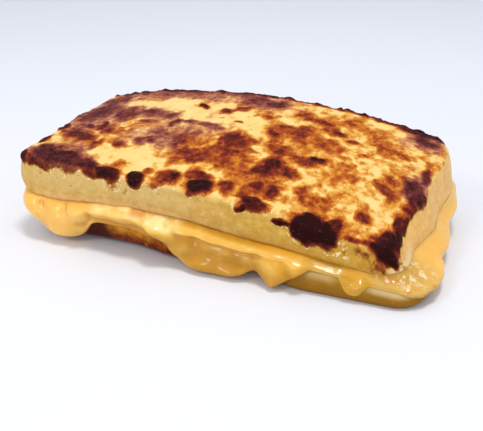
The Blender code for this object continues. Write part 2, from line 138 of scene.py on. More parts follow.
# Browned patches of the top, laid out flat: x, y, half length, half width, turn in degrees, darkness
PATCHES = (
    # left end and back left, purple brown
    (-63, 10, 10, 14, 0, 0.8), (-50, 7, 8.5, 7.5, -20, 0.76), (-64, 25, 8, 8, 0, 0.74),
    (-59, 24, 3, 3.5, 0, 0.82), (-44, 28, 10, 7, -20, 0.56), (-31, 30, 10, 6, -30, 0.62),
    (-12, 32.5, 12, 3.4, 0, 0.6), (-18, 26, 4.5, 3, 70, 0.52), (-53, 31, 7, 4, -30, 0.62),
    (-20, 17, 3, 1.6, -40, 1.02), (-39, 8, 9.5, 4.6, -8, 0.74), (-38, 0.5, 2.6, 2.4, 0, 0.72),
    (-30.5, 7, 3, 3, 0, 0.64),
    # middle left strips
    (-26, 2.5, 3.4, 2.4, 20, 0.78), (-20, 4, 4.4, 2.2, 10, 0.72), (-14, 3, 4.4, 2.4, -10, 0.7),
    (-8.3, 1.2, 2.4, 2.4, 0, 0.74), (-15, -2.6, 3.4, 1.7, 0, 0.66), (-26, -1.5, 1.5, 1.3, 0, 0.8),
    (-29, -11.5, 3.8, 2.9, 10, 0.76), (-33, -13, 2.4, 2.2, 0, 0.62), (-17, -10, 11, 9, -15, 0.52),
    (-10, -17, 8.5, 4.8, 20, 0.7), (-18, -19.5, 5, 2, 0, 0.52), (-5, -13.5, 6, 4, 30, 0.62),
    (-40, -17.5, 4.2, 2.8, 0, 0.78), (-48, -20, 2.2, 7, -8, 0.7), (-58, -14, 12.5, 4.6, -28, 0.82),
    (-51, -8, 8, 3.6, -30, 0.7), (-58, -6.8, 3.4, 1.7, -48, 0.88), (-52.5, -3.2, 1.5, 2.8, 25, 0.85),
    (-47, 1, 3, 4, 0, 0.66), (-69.5, -7, 1.6, 5, 0, 0.95), (-69.3, -21, 1.5, 5, 0, 0.98),
    # front left corner band
    (-57, -31.5, 14, 6, -6, 0.9), (-63, -27, 6, 5, -30, 0.8), (-52, -26, 3, 3, 0, 0.66),
    (-45, -32.4, 7, 3.8, -12, 0.88), (-64, -35, 5, 3.2, -20, 0.82), (-70, -34, 3.4, 3.4, 0, 0.9),
    (-35.5, -33.4, 6.2, 3.5, -5, 0.99), (-33, -30.5, 2.2, 3, 0, 0.5), (-32.5, -27.5, 2.2, 1.3, 0, 0.48),
    # over the hidden left edge
    (-73, 6, 3, 5.5, 8, 0.84), (-73.5, 21, 2.6, 4, -10, 0.8), (-72.5, -27, 2.4, 3.6, 0, 0.8),
    (-75, 14, 1.6, 1.4, 0, 0.74),
    # front edge, left of the middle
    (-24, -34.2, 3.7, 3.5, 0, 1.05), (-22, -30, 2, 2.2, 0, 0.7), (-12.5, -30, 5, 3.8, 15, 0.8),
    (-11, -29.5, 2, 2.8, 0, 0.95), (-16, -34, 4.4, 3, 0, 0.58), (-7, -27, 2.8, 4, 0, 0.74),
    (-1.5, -31.9, 5.2, 4.6, 0, 1.12), (-2.5, -27.6, 5, 2.8, 0, 0.8), (2, -17, 11, 7, 0, 0.4),
    (3, -18, 4, 2.5, 0, 0.55), (7, -29, 3.6, 3.4, 0, 0.78), (8, -10, 3, 2, 0, 0.56),
    # middle
    (1, -5, 7.2, 5.8, 0, 0.82), (-1, 27, 8, 7, 0, 0.74), (7, 26, 5, 4, 0, 0.84),
    (-10.5, 15.2, 3.4, 2.2, 20, 0.8), (-4, 18.4, 5, 1.9, 25, 0.7), (6, 16, 2.8, 3.4, 0, 0.5),
    (-2.2, 7.6, 2, 1.3, 0, 0.62), (-9.6, 9.4, 1, 0.9, 0, 0.52), (11.6, 4.2, 3.4, 2.6, -20, 0.8),
    (17, 8, 10, 5, -8, 0.72), (24, 13, 3.6, 2.4, 20, 0.62), (31, 5.4, 8, 4, -10, 0.54),
    (28, 19, 4, 3.6, -40, 0.72), (32, 15, 4, 2.8, -30, 0.7), (36.6, 13.6, 2.6, 1.5, 0, 0.74),
    (41, 11, 3, 1.4, 0, 0.6), (20, 21.5, 5, 3.4, 30, 0.52), (38, 25, 3, 4, -20, 0.42), (50, 22, 5, 4, 0, 0.4),
    (54, 15, 7, 5, 0, 0.32), (59, 11.4, 4, 1.9, 0, 0.66), (46, 4, 1.2, 4.5, -35, 0.5),
    (16, -5, 4, 3.6, -20, 0.7), (15, -1, 2.6, 2, 0, 0.56), (18.6, -13.5, 4.4, 5.6, 0, 0.9),
    (17, -17, 6, 3.6, 0, 0.84), (25, -16, 4, 3.8, 0, 0.72), (24, -7, 5, 2.2, 0, 0.7),
    (32, -5.5, 3.4, 2.4, 10, 0.88), (28, -8.6, 4, 1.9, 0, 0.7), (43, -11, 4, 2, 20, 0.5),
    (42, -3, 3, 1.5, 20, 0.54), (16, -25.4, 4, 2.8, 15, 0.8), (22, -26, 2.8, 4, 0, 0.84),
    (17, -26, 9, 6, 0, 0.5), (52, -24.8, 2.5, 2.2, 0, 0.74), (36, -24.5, 6, 3.6, 0, 0.53),
    (33, -23, 2.6, 1.6, 30, 0.58), (39, -26, 2.2, 2, 0, 0.58),
    # front edge, right of the middle, and the right edge
    (18, -33.4, 6.6, 3.7, -8, 0.95), (14.6, -36, 2, 1.2, 0, 0.92), (38.5, -34.9, 9.2, 5.9, -6, 1.08),
    (28.4, -37, 3.8, 1.2, 8, 1), (36, -31, 4, 2.2, 0, 0.86), (45.5, -31.4, 2.2, 2.6, 0, 0.84),
    (52, -34.2, 4.2, 1.2, 8, 0.8), (60.5, -35, 6.4, 3.4, -6, 1.04), (34.5, -37.6, 4.8, 3.6, -4, 1.06),
    (42.4, -36.2, 4.8, 3.7, -6, 1.04), (50, -37.5, 6, 3, 0, 0.22), (-34, -37.2, 6, 2.4, 0, 0.22),
    (57, -40, 6.5, 3.4, -10, 0.36), (61, -30, 3.6, 6.2, 0, 0.94), (63.5, -22, 2.4, 6, 0, 0.86),
    (64.4, -27, 2.5, 5.6, 0, 0.96), (65.6, -19.5, 1.8, 3.4, 0, 0.82), (58, -30, 4.2, 2.6, 0, 0.74),
    (62.5, -35.6, 4.6, 2.2, -16, 0.98), (57.5, -37.4, 4.5, 1.6, -25, 0.5), (66, -4, 4.8, 6.2, 0, 0.82),
    (67, -9, 3, 4, 0, 0.9), (68.6, 5, 1.8, 7.2, 0, 0.8), (57, -10, 5.4, 2.6, -25, 0.64),
    (59, -5, 4, 2.4, 0, 0.58), (65, -14.2, 3, 2.4, 0, 0.8), (65, 25.5, 7, 4.6, -12, 0.86),
    (61, 31, 9, 2.4, -6, 0.96), (66, 33, 8, 3, -8, 1), (48, 32.5, 5, 1.6, 0, 0.8),
    (23, 33.5, 9, 1.4, 0, 0.72),
)
# Greyish, ashy browning: x, y, half length, half width
ASHY = (
    (-20, 4, 16, 10), (-30, -10, 12, 8), (-62, 10, 17, 22), (-45, 31, 26, 9), (-36, 8, 12, 8),
    (-56, -30, 14, 9), (-20, 30, 20, 8), (2, 28, 12, 9), (66, -3, 6, 9), (64, 26, 9, 8),
)
# Areas of golden to amber mottling between the patches: x, y, half length, half width, turn, strength
HAZES = (
    (-22, -9, 19, 12, 0, 0.5), (-8, -17, 13, 8, 0, 0.52), (4, -16, 12, 9, 0, 0.46), (24, 6, 18, 9, 0, 0.5),
    (36, 3, 10, 8, 0, 0.44), (52, 18, 15, 12, 0, 0.32), (38, 23, 12, 9, 0, 0.4), (36, -24, 10, 8, 0, 0.44),
    (51, -24, 9, 7, 0, 0.36), (17, -24, 13, 9, 0, 0.48), (20, -11, 14, 11, 0, 0.46), (43, -8, 9, 8, 0, 0.38),
    (57, -9, 11, 10, 0, 0.42), (59, 8, 10, 10, 0, 0.38), (-42, -8, 14, 11, 0, 0.44), (-39, 4, 16, 10, 0, 0.46),
    (-45, 28, 16, 8, 0, 0.5), (-27, 29, 16, 7, 0, 0.48), (-57, -21, 12, 7, 0, 0.42), (1, -6, 12, 10, 0, 0.46),
    (20, 23, 10, 7, 0, 0.42), (6, 17, 7, 5, 0, 0.38), (0, 26, 14, 8, 0, 0.46), (-19, 24, 8, 6, 0, 0.42),
    (46, 12, 10, 7, 0, 0.4), (10, -30, 10, 5, 0, 0.44), (-14, -32, 11, 6, 0, 0.46), (66, 0, 7, 17, 0, 0.4),
    (-60, 0, 12, 13, 0, 0.48), (-62, 26, 10, 10, 0, 0.5), (31, 16, 9, 7, 0, 0.42), (46, -33, 20, 8, 0, 0.4),
    (-8, 2, 12, 4, 0, 0.36), (58, -22, 6, 8, 0, 0.34), (12, 30, 14, 4, 0, 0.42), (35, 31, 14, 3, 0, 0.34),
)


def smoothstep(low, high, value):
    share = np.clip((value - low) / (high - low), 0, 1)
    return share * share * (3 - 2 * share)


def along(x, heights):
    """Heights at the stations, evened out along the length."""
    return sum(np.interp(x + d, STATIONS, heights) for d in STATION_SHIFTS) / len(STATION_SHIFTS)


def across(x, y, front, back, power):
    """Heights between the front line and the back line."""
    share = np.clip((y + HALF_DEPTH) / (2 * HALF_DEPTH), 0, 1)
    rise = 1 - (1 - share) ** power
    return along(x, front) * (1 - rise) + along(x, back) * rise


def top_height(x, y):
    return across(x, y, TOP_FRONT, TOP_BACK, DOME_POWER)


def high_height(x, y):
    return across(x, y, HIGH_FRONT, HIGH_BACK, 1)


def low_height(x, y):
    return across(x, y, LOW_FRONT, LOW_BACK, 1)


def outline():
    """Points, outward normals and running length round the plan, from the start of the front edge."""
    signs = ((1, -1), (1, 1), (-1, 1), (-1, -1))
    corners = [(sx * (HALF_LENGTH - r), sy * (HALF_DEPTH - r)) for (sx, sy), r in zip(signs, CORNER_RADII)]
    runs = (FRONT_STEPS, RIGHT_STEPS, BACK_STEPS, LEFT_STEPS)
    arcs = (FRONT_CORNER_STEPS, BACK_CORNER_STEPS, BACK_CORNER_STEPS, FRONT_CORNER_STEPS)
    points, normals = [], []
    for side in range(4):
        heading = -math.pi / 2 + side * math.pi / 2
        start, end = np.array(corners[side - 1]), np.array(corners[side])
        normal = np.array((math.cos(heading), math.sin(heading)))
        start = start + normal * CORNER_RADII[side - 1]
        for step in range(runs[side]):
            points.append(start + (end + normal * CORNER_RADII[side] - start) * step / runs[side])
            normals.append(normal)
        for step in range(arcs[side]):
            angle = heading + math.pi / 2 * step / arcs[side]
            normal = np.array((math.cos(angle), math.sin(angle)))
            points.append(end + normal * CORNER_RADII[side])
            normals.append(normal)
    points, normals = np.array(points), np.array(normals)
    steps = np.linalg.norm(np.roll(points, -1, axis=0) - points, axis=1)
    return points, normals, np.concatenate(([0], np.cumsum(steps)[:-1])), steps.sum()


POINTS, NORMALS, RUN, PERIMETER = outline()
COUNT = len(POINTS)
EDGE = (POINTS - NORMALS * EDGE_INSET).T


def by_side(values):
    """One value round the outline from the four sides' values."""
    weights = {"front": -NORMALS[:, 1], "back": NORMALS[:, 1], "right": NORMALS[:, 0], "left": -NORMALS[:, 0]}
    total = sum(np.clip(w, 0, None) ** 2 for w in weights.values())
    return sum(values[k] * np.clip(w, 0, None) ** 2 for k, w in weights.items()) / total


def ring(offset, height):
    """Closed ring of points, the plan's outline moved outwards."""
    flat = POINTS + NORMALS * np.broadcast_to(offset, COUNT)[:, None]
    return np.column_stack((flat, np.broadcast_to(height, COUNT)))


def inner_ring(offset, share, surface):
    """Ring drawn in towards the middle line, on a surface."""
    flat = ring(offset, 0)[:, :2]
    reach = HALF_LENGTH - HALF_DEPTH
    spine = np.column_stack((np.clip(flat[:, 0], -reach, reach), np.zeros(COUNT)))
    flat = flat + (spine - flat) * share
    return np.column_stack((flat, surface(*flat.T)))


def near(place, half_width, flat=0):
    """1 round a place on the outline, falling to 0 at half_width."""
    away = np.abs((RUN - place + PERIMETER / 2) % PERIMETER - PERIMETER / 2) / half_width
    return 1 - smoothstep(flat, 1, away)


def wave(size, seed):
    """Smooth unevenness round the outline, without a seam."""
    angle = RUN / PERIMETER * 2 * math.pi
    turn = PERIMETER / (2 * math.pi * size)
    return np.array([noise.noise(Vector((math.cos(a) * turn, math.sin(a) * turn, seed))) for a in angle])


def low_edge():
    return low_height(*EDGE)


def high_edge():
    return high_height(*EDGE)


def lower_side(height):
    foot = np.clip(1 - height / FOOT_HEIGHT, 0, 1)
    crown = np.clip(1 - (low_edge() - height) / CROWN_HEIGHT, 0, 1)
    belly = LOWER_BELLY * np.sin(np.pi * np.clip(height / low_edge(), 0, 1))
    drawn_in = HOLLOW_DEPTH * near(*HOLLOW) * np.clip(1 - height / low_edge(), 0, 1)
    ledge = near(*LEDGE)
    footed = belly - (FOOT_INSET - LEDGE_FOOT * ledge) * foot ** 2
    return footed + LEDGE_OUT * ledge - CROWN_INSET * crown ** 2 - drawn_in


def rim_radius():
    return by_side(RIM_RADII) + SOFT_RIM_EXTRA * near(*SOFT_RIM)


def rim_start():
    radius = rim_radius()
    edge = POINTS + NORMALS * (by_side(SIDE_OUT_HIGH) - radius)[:, None]
    return top_height(*edge.T) - radius


def upper_side(height):
    base = high_edge()
    span = rim_start() - base
    share = np.clip((height - base) / span, 0, 1)
    foot = np.clip(1 - (height - base) / CROWN_HEIGHT, 0, 1)
    straight = by_side(SIDE_OUT_LOW) * (1 - share) + by_side(SIDE_OUT_HIGH) * share
    return straight + UPPER_BELLY * np.sin(np.pi * share) - CROWN_INSET * foot ** 2


def along_run(rows, reach):
    """Values of a table along the outline, whose last stretch, reach long, has negative runs."""
    run = np.where(RUN > PERIMETER - reach, RUN - PERIMETER, RUN)
    return np.interp(run, *np.array(rows).T)


def cheese_top():
    return high_edge() + along_run(RISE, 38) + 0.4 * wave(8, 7) * (1 - 0.7 * near(*SOFT))


LATTICE = np.random.default_rng(7).random(4096)


def cell_value(i, j, k):
    return LATTICE[(i * 73856093 ^ j * 19349663 ^ k * 83492791) % 4096]


def value_noise(points, size, seed=0):
    """Smooth noise between -1 and 1 with features of a size in millimetres."""
    scaled = points / size + seed * 17.31
    cell = np.floor(scaled).astype(np.int64)
    part = scaled - cell
    part = part * part * (3 - 2 * part)
    total = 0
    for i in (0, 1):
        for j in (0, 1):
            for k in (0, 1):
                weight = (part[:, 0] if i else 1 - part[:, 0]) * (part[:, 1] if j else 1 - part[:, 1])
                weight = weight * (part[:, 2] if k else 1 - part[:, 2])
                total = total + weight * cell_value(cell[:, 0] + i, cell[:, 1] + j, cell[:, 2] + k)
    return total * 2 - 1


def lean(points):
    """The whole food leans a little to the left with height."""
    moved = points.copy()
    moved[:, 0] += LEAN * smoothstep(LEAN_FROM, LEAN_TO, points[:, 2])
    return moved


def slant(points, share=1):
    """Right end of the upper slice, drawn in at the front corner and further out at the back."""
    x, y = points[:, 0], points[:, 1]
    shift = END_OUT * smoothstep(0, 22, y) * (1 - 0.6 * smoothstep(24, 37, y))
    shift = shift - END_IN * (1 - smoothstep(-24, -3, y))
    moved = points.copy()
    moved[:, 0] += share * shift * smoothstep(44, 70, x)
    return moved


def closing(ring_points, start):
    """Strip of triangles that closes the slot inside the last ring."""
    ordered = sorted(range(COUNT), key=lambda i: (ring_points[i][0], ring_points[i][1]))
    first, last = ordered[0], ordered[-1]
    span = (last - first) % COUNT
    front = [(first + k) % COUNT for k in range(span + 1)]
    back = [(first - k) % COUNT for k in range(COUNT - span + 1)]
    i = j = 0
    made = []
    while i + 1 < len(front) or j + 1 < len(back):
        ahead = j + 1 == len(back)
        if i + 1 < len(front) and not ahead:
            ahead = ring_points[front[i + 1]][0] <= ring_points[back[j + 1]][0]
        if ahead:
            corners = (front[i], front[i + 1], back[j])
            i += 1
        else:
            corners = (front[i], back[j + 1], back[j])
            j += 1
        if len(set(corners)) == 3:
            made.append([start + c for c in corners])
    return made


def shell(rings):
    """Points and faces of a closed body through rings."""
    points = np.concatenate(rings)
    faces = []
    for row in range(len(rings) - 1):
        a = row * COUNT
        for i in range(COUNT):
            j = (i + 1) % COUNT
            faces.append((a + i, a + j, a + COUNT + j, a + COUNT + i))
    faces += [tuple(reversed(f)) for f in closing(rings[0], 0)]
    faces += [tuple(f) for f in closing(rings[-1], (len(rings) - 1) * COUNT)]
    return points, faces


def normals_of(points, faces):
    mesh = bpy.data.meshes.new("work")
    mesh.from_pydata(points.tolist(), [], faces)
    mesh.update()
    out = np.empty(len(points) * 3)
    mesh.vertex_normals.foreach_get("vector", out)
    bpy.data.meshes.remove(mesh)
    return out.reshape(-1, 3)


def added(name, data):
    """New object in the scene."""
    made = bpy.data.objects.new(name, data)
    bpy.context.scene.collection.objects.link(made)
    return made


def piece(name, node, points, faces, attributes, material):
    mesh = bpy.data.meshes.new(name)
    placed = (lean(points) - MIDDLE) * MM
    mesh.from_pydata(placed.tolist(), [], faces)
    mesh.update()
    attributes["around"] = np.tile(RUN / PERIMETER, len(points) // COUNT)
    for key, values in attributes.items():
        layer = mesh.attributes.new(key, "FLOAT", "POINT")
        layer.data.foreach_set("value", np.ascontiguousarray(values, dtype=np.float32))
    mesh.shade_smooth()
    made = added(name, mesh)
    made.data.materials.append(material)
    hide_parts(node)
    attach(made, "root")
    return made


def turned(dx, dy, degrees):
    """Offsets along and across a turned direction."""
    c, s = math.cos(math.radians(degrees)), math.sin(math.radians(degrees))
    return dx * c + dy * s, dy * c - dx * s


def patch_field(flat, patches, warp, inner=0.55, outer=1.45):
    """Strongest patch at each point of the laid-out surface, with uneven outlines."""
    x, y = flat[:, 0] + warp[:, 0], flat[:, 1] + warp[:, 1]
    field = np.zeros(len(flat))
    for px, py, rx, ry, turn, dark in patches:
        dx, dy = turned(x - px, y - py, turn)
        away = np.hypot(dx / rx, dy / ry)
        field = np.maximum(field, dark * (1 - smoothstep(inner, outer, away)))
    return field


def browning(flat3, top):
    """How brown the laid-out surface is: 0 pale, 0.35 amber, 0.55 rust, 0.8 dark brown, 1 black."""
    broad, close = [value_noise(flat3, 5, k) for k in (1, 2)], [value_noise(flat3, 2.2, k) for k in (4, 5)]
    warp = np.column_stack([1.3 * a + 0.8 * b for a, b in zip(broad, close)])
    reach = 1.42 + 0.34 * value_noise(flat3, 4.5, 46)
    patches = patch_field(flat3[:, :2], PATCHES, warp, 0.42, reach)
    hazes = patch_field(flat3[:, :2], HAZES, warp * 2, 0.35, 1.35)
    grain = 0.4 * value_noise(flat3, 4.2, 41) + 0.46 * value_noise(flat3, 2.1, 42)
    grain = grain + 0.32 * value_noise(flat3, 1.1, 43)
    ground = 0.08 + 0.16 * smoothstep(5, 45, flat3[:, 0]) + 0.11 * value_noise(flat3, 9, 44)
    ground = ground + 0.14 * value_noise(flat3, 2.8, 47)
    soft = np.maximum(hazes * 0.82, ground) * smoothstep(0.2, 0.95, top)
    level = np.maximum(patches, soft * (1 - patches) + patches * 0.8)
    swing = np.interp(level, (0, 0.2, 0.45, 0.62, 0.8, 1), (0.02, 0.32, 0.42, 0.3, 0.2, 0.12))
    vein = 1 - smoothstep(0, 0.18, np.abs(value_noise(flat3, 3.4, 45)))
    vein = vein * np.interp(level, (0.1, 0.3, 0.6, 0.9), (0, 0.12, 0.11, 0))
    level = level + grain * swing - vein
    return level


def top_slice():
    """Upper slice: smooth moist sides, browned and blistered top."""
    base, shoulder, radius, out = high_edge(), rim_start(), rim_radius(), by_side(SIDE_OUT_HIGH)
    edge_flat = slant(POINTS + NORMALS * (out - radius)[:, None])
    none, all_up = np.zeros(COUNT), np.ones(COUNT)
    # Each row: the ring, its place with the surface laid out flat, how far down it is, how much it faces up
    rows = []
    for share in reversed(LAYER_SHARES):
        made = slant(inner_ring(LAYER_INSET, share, high_height))
        rows.append((made, made[:, :2], np.full(COUNT, FAR_DOWN), none))
    heights = [base + CROWN_HEIGHT * share for share in np.linspace(0, 1, FOOT_RINGS)[:-1]]
    heights += [base + CROWN_HEIGHT + (shoulder - base - CROWN_HEIGHT) * s for s in np.linspace(0, 1, SIDE_RINGS)]
    for height in heights:
        down = radius * math.pi / 2 + shoulder - height
        rows.append((slant(ring(upper_side(height), height)), edge_flat + NORMALS * down[:, None], down, none))
    for angle in np.radians(np.linspace(6, 84, RIM_RINGS)):
        made = slant(ring(out - radius * (1 - math.cos(angle)), shoulder + radius * math.sin(angle)))
        down = radius * (math.pi / 2 - angle)
        rows.append((made, edge_flat + NORMALS * down[:, None], down, np.full(COUNT, math.sin(angle))))
    for share in np.linspace(0.004, 0.97, TOP_RINGS):
        made = slant(inner_ring(out - radius, share, top_height))
        rows.append((made, made[:, :2], none, all_up))
    rings, flats, downs, tops = zip(*rows)
    points, faces = shell(rings)
    flat, top, down = np.concatenate(flats), np.concatenate(tops), np.concatenate(downs)
    flat3 = np.column_stack((flat, np.zeros(len(flat))))
    char = browning(flat3, top)
    rim = back_rim(flat3, down)
    char = np.maximum(char, rim)
    warp = np.column_stack([2.5 * value_noise(flat3, 6, k) for k in (6, 7)])
    ash = patch_field(flat, [(*a, 0, 1) for a in ASHY], warp)
    normals = normals_of(points, faces)
    lift = top_relief(points, flat3, char, rim, top)
    low = np.tile(high_edge(), len(rings))
    height = np.clip((points[:, 2] - low) / np.maximum(np.tile(shoulder, len(rings)) - low, 1), 0, 1.2)
    points = points + normals * lift[:, None]
    values = {"char": char, "ash": ash, "top": top, "height": height}
    return piece("top_slice_browned", "top_slice", points, faces, values, crust_material())


def back_rim(flat3, down):
    """Black crusty strip along the back edge, thicker at the left, broken at the right."""
    back = np.tile(np.clip(NORMALS[:, 1], 0, 1), len(flat3) // COUNT)
    x, only_x = flat3[:, 0], flat3 * (1, 0, 0)
    line = 34.9 + 0.9 * value_noise(only_x, 5, 9)
    width = np.interp(x, (-60, -30, 0, 18, 40, 55, 72), (4.8, 4.8, 3.9, 3.1, 3, 4.2, 5))
    uneven = 0.25 * value_noise(flat3, 2.2, 4)
    inner = smoothstep(line - width, line - width * 0.3, flat3[:, 1])
    ragged = value_noise(only_x, 4.5, 8) + 0.6 * value_noise(flat3, 1.8, 3)
    fading = 1 - smoothstep(2.4 + 1.6 * ragged, 4.6 + 2.2 * ragged, down)
    return inner * fading * (0.92 + uneven) * smoothstep(0.15, 0.6, back)


def top_relief(points, flat3, char, rim, top):
    """Blisters, crags and general unevenness of the upper slice, in millimetres."""
    broad = 0.4 * value_noise(flat3, 15, 5) * top - 0.35 * top
    fine = value_noise(points, 1.3, 11)
    middle = value_noise(points, 2.8, 12)
    blister = smoothstep(0.7, 1, char)
    browned = smoothstep(0.3, 0.65, char)
    lift = broad + 0.5 * blister + 0.16 * browned + blister * (0.26 * fine + 0.22 * middle)
    lift += (0.06 + 0.09 * browned) * fine * top + 0.1 * browned * middle
    lift += 0.7 * rim * (np.abs(value_noise(points, 2.6, 14)) - 0.5)
    hidden = np.clip(-np.tile(NORMALS[:, 0], len(points) // COUNT), 0, 1)
    hidden = np.maximum(hidden, np.clip(np.tile(NORMALS[:, 1], len(points) // COUNT), 0, 1))
    side = (0.12 + 0.3 * hidden) * value_noise(points, 9, 15) + 0.05 * value_noise(points, 2.4, 16)
    return lift + (1 - top) * side


def soften(grid, rows, columns):
    """Grid averaged over its neighbours, round the outline and up the side."""
    for _ in range(2):
        grid = sum(np.roll(grid, k, axis=1) for k in range(-columns, columns + 1)) / (2 * columns + 1)
        padded = np.concatenate((np.repeat(grid[:1], rows, 0), grid, np.repeat(grid[-1:], rows, 0)))
        grid = sum(padded[k:k + len(grid)] for k in range(2 * rows + 1)) / (2 * rows + 1)
    return grid


def cheese_bottom():
    places, heights = np.array(CHEESE_LOW).T
    low = sum(np.interp(RUN + d, places, heights, period=PERIMETER) for d in CHEESE_SHIFTS) / len(CHEESE_SHIFTS)
    low = low + 0.5 * wave(9, 4) * smoothstep(1.5, 4, low) * (1 - near(*SOFT))
    return np.clip(np.minimum(low, low_edge() - 0.3), LOWEST_CHEESE, None)


def fold_thickness(run, height):
    """Thickness of the cheese over the slices, from folds that run together."""
    total = np.zeros(np.shape(run))
    for place, middle, half_length, half_height, turn, thick in FOLDS:
        dx = (run - place + PERIMETER / 2) % PERIMETER - PERIMETER / 2
        dx, dz = turned(dx, height - middle, turn)
        away = (dx / half_length) ** 2 + (dz / half_height) ** 2
        total += (1.12 * thick * np.clip(1 - away, 0, None)) ** 4
    return total ** 0.25


def cheese():
    """Melted layer: rolled bead under the upper slice, curtain and lobes below it."""
    low, high = low_edge() + GAP, high_edge() - GAP
    bottom, top = cheese_bottom(), cheese_top()
    none, full = np.zeros(COUNT), np.ones(COUNT)
    # Each row: the ring, how far down the face it is, how thick the cheese is there
    rows = [(inner_ring(LAYER_INSET, share, lambda x, y: low_height(x, y) + GAP), full, none)
            for share in reversed(LAYER_SHARES)]
    for share in np.linspace(0, 1, BEHIND_RINGS)[:-1] ** 1.4:
        height = low + (bottom - low) * share
        rows.append((ring(lower_side(np.maximum(height, FOOT_HEIGHT)) + GAP, height), full, none))
    foot = lower_side(np.maximum(bottom, FOOT_HEIGHT)) + GAP - 0.26 * near(*FILM)
    crown = upper_side(top) + 0.02
    soft = near(*SOFT)
    hidden, thin, sloped = near(*HIDDEN_BACK), near(*THIN_LIP), near(*SLOPED)
    ledge = low_edge() - 0.2
    run, band = np.where(RUN > PERIMETER - 40, RUN - PERIMETER, RUN), along_run(BAND, 40)
    for step in np.linspace(0, 1, CHEESE_RINGS):
        share = 0.5 - 0.5 * math.cos(math.pi * step)
        height = bottom + (top - bottom) * share
        body = band * (1 + 0.14 * value_noise(np.column_stack((POINTS, height)), 9, 23))
        body += hidden * (0.7 + 1.3 * value_noise(np.column_stack((POINTS, height * 0.3)), 6.5, 25))
        body = np.maximum(body, 0.3)
        folds = fold_thickness(run, height)
        folds = folds * smoothstep(0, 1.5, top - bottom)
        depth = (body ** 4 + folds ** 4) ** 0.25
        round_low = np.clip((height - bottom) / (0.34 * depth + 0.3), 0, 1)
        round_top = np.clip((top - height) / (0.55 * depth + 0.5 + soft * (0.8 * depth + 0.8)), 0, 1)
        meeting = (1 - (1 - round_top) ** 2) ** 0.8 * (1 - soft) + smoothstep(0, 1, round_top) * soft
        faded = smoothstep(0, 3, height - bottom)
        taper = (np.sqrt(1 - (1 - round_low) ** 2) * (1 - thin) + faded * thin) * meeting
        inward = 1 - (1 - np.clip((height - ledge) / (top - ledge), 0, 1)) ** 1.5
        across_share = share * (1 - sloped) + inward * sloped
        slanted = share ** 1.5 * (1 - sloped) + inward * sloped
        made = slant(ring(foot + (crown - foot) * across_share + depth * taper, height), slanted)
        rows.append((made, np.full(COUNT, 1 - share), depth * taper))
    for share in np.linspace(1, 0, TUCK_RINGS)[1:]:
        height = high + (top - high) * share
        rows.append((slant(ring(upper_side(np.maximum(height, high_edge())) + GAP, height)), none, none))
    rows += [(slant(inner_ring(LAYER_INSET, share, lambda x, y: high_height(x, y) - GAP)), none, none)
             for share in LAYER_SHARES]
    rings, fall, thick = zip(*rows)
    face = [k for k, row in enumerate(thick) if np.any(row)]
    grid = np.array(thick[face[0]:face[-1] + 1])
    raised = np.zeros((len(rings), COUNT))
    raised[face[0]:face[-1] + 1] = np.clip((grid - soften(grid, 7, 4)) / 0.45, -1, 1)
    points, faces = shell(rings)
    thick = np.concatenate(thick)
    normals = normals_of(points, faces)
    stretched = points * np.array((1, 1, 0.55))
    lift = 0.16 * value_noise(stretched, 9, 21) + 0.03 * value_noise(stretched, 3.4, 22)
    lift *= smoothstep(0.3, 1.6, thick)
    bumps = np.tile(near(*BUMPY), len(rings)) * smoothstep(0.2, 0.9, thick)
    lift += bumps * (0.38 * value_noise(points, 2.8, 26) + 0.2 * value_noise(points, 1.5, 27))
    points = points + normals * lift[:, None]
    points[:, 2] = np.maximum(points[:, 2], LOWEST_CHEESE - 0.2)
    lobe = np.tile(smoothstep(2, 8, low - bottom), len(rings))
    values = {"fall": np.concatenate(fall), "lobe": lobe, "thick": thick, "raised": raised.ravel()}
    return piece("melted_cheese_layer", "melted_cheese", points, faces, values, cheese_material())


def bottom_slice():
    """Lower slice: smooth moist side, browner rounded underside edge."""
    edge = low_edge()
    rings = []
    for height in np.linspace(0, 1, LOWER_FOOT_RINGS) ** 1.6 * FOOT_HEIGHT:
        rings.append(ring(lower_side(np.full(COUNT, height)), height))
    for share in np.linspace(0, 1, LOWER_SIDE_RINGS)[1:]:
        height = FOOT_HEIGHT + (edge - LOWER_CROWN - FOOT_HEIGHT) * share
        rings.append(ring(lower_side(height), height))
    for drop in np.linspace(LOWER_CROWN, 0, LOWER_CROWN_RINGS)[1:]:
        rings.append(ring(lower_side(edge - drop), edge - drop))
    rings += [inner_ring(LAYER_INSET, share, low_height) for share in LAYER_SHARES]
    points, faces = shell(rings)
    normals = normals_of(points, faces)
    side = np.clip(1 - np.abs(normals[:, 2]) * 1.1, 0, 1) * np.tile(1 - 0.85 * near(*FILM), len(rings))
    lift = side * (0.16 * value_noise(points, 8, 31) + 0.05 * value_noise(points, 2, 32))
    points = points + normals * lift[:, None]
    points[:, 2] = np.maximum(points[:, 2], 0)
    height = points[:, 2] / np.tile(edge, len(rings))
    # Where a painted wet highlight lightens the top of the lower slice
    painted_wet_highlight = np.tile(np.maximum(0.6 * near(*PAINTED_HIGHLIGHT_LEFT), near(*PAINTED_HIGHLIGHT_RIGHT)), len(rings))
    values = {"height": height, "painted_wet_highlight": painted_wet_highlight * smoothstep(0.55, 0.85, height)}
    return piece("bottom_slice_side", "bottom_slice", points, faces, values, lower_material())


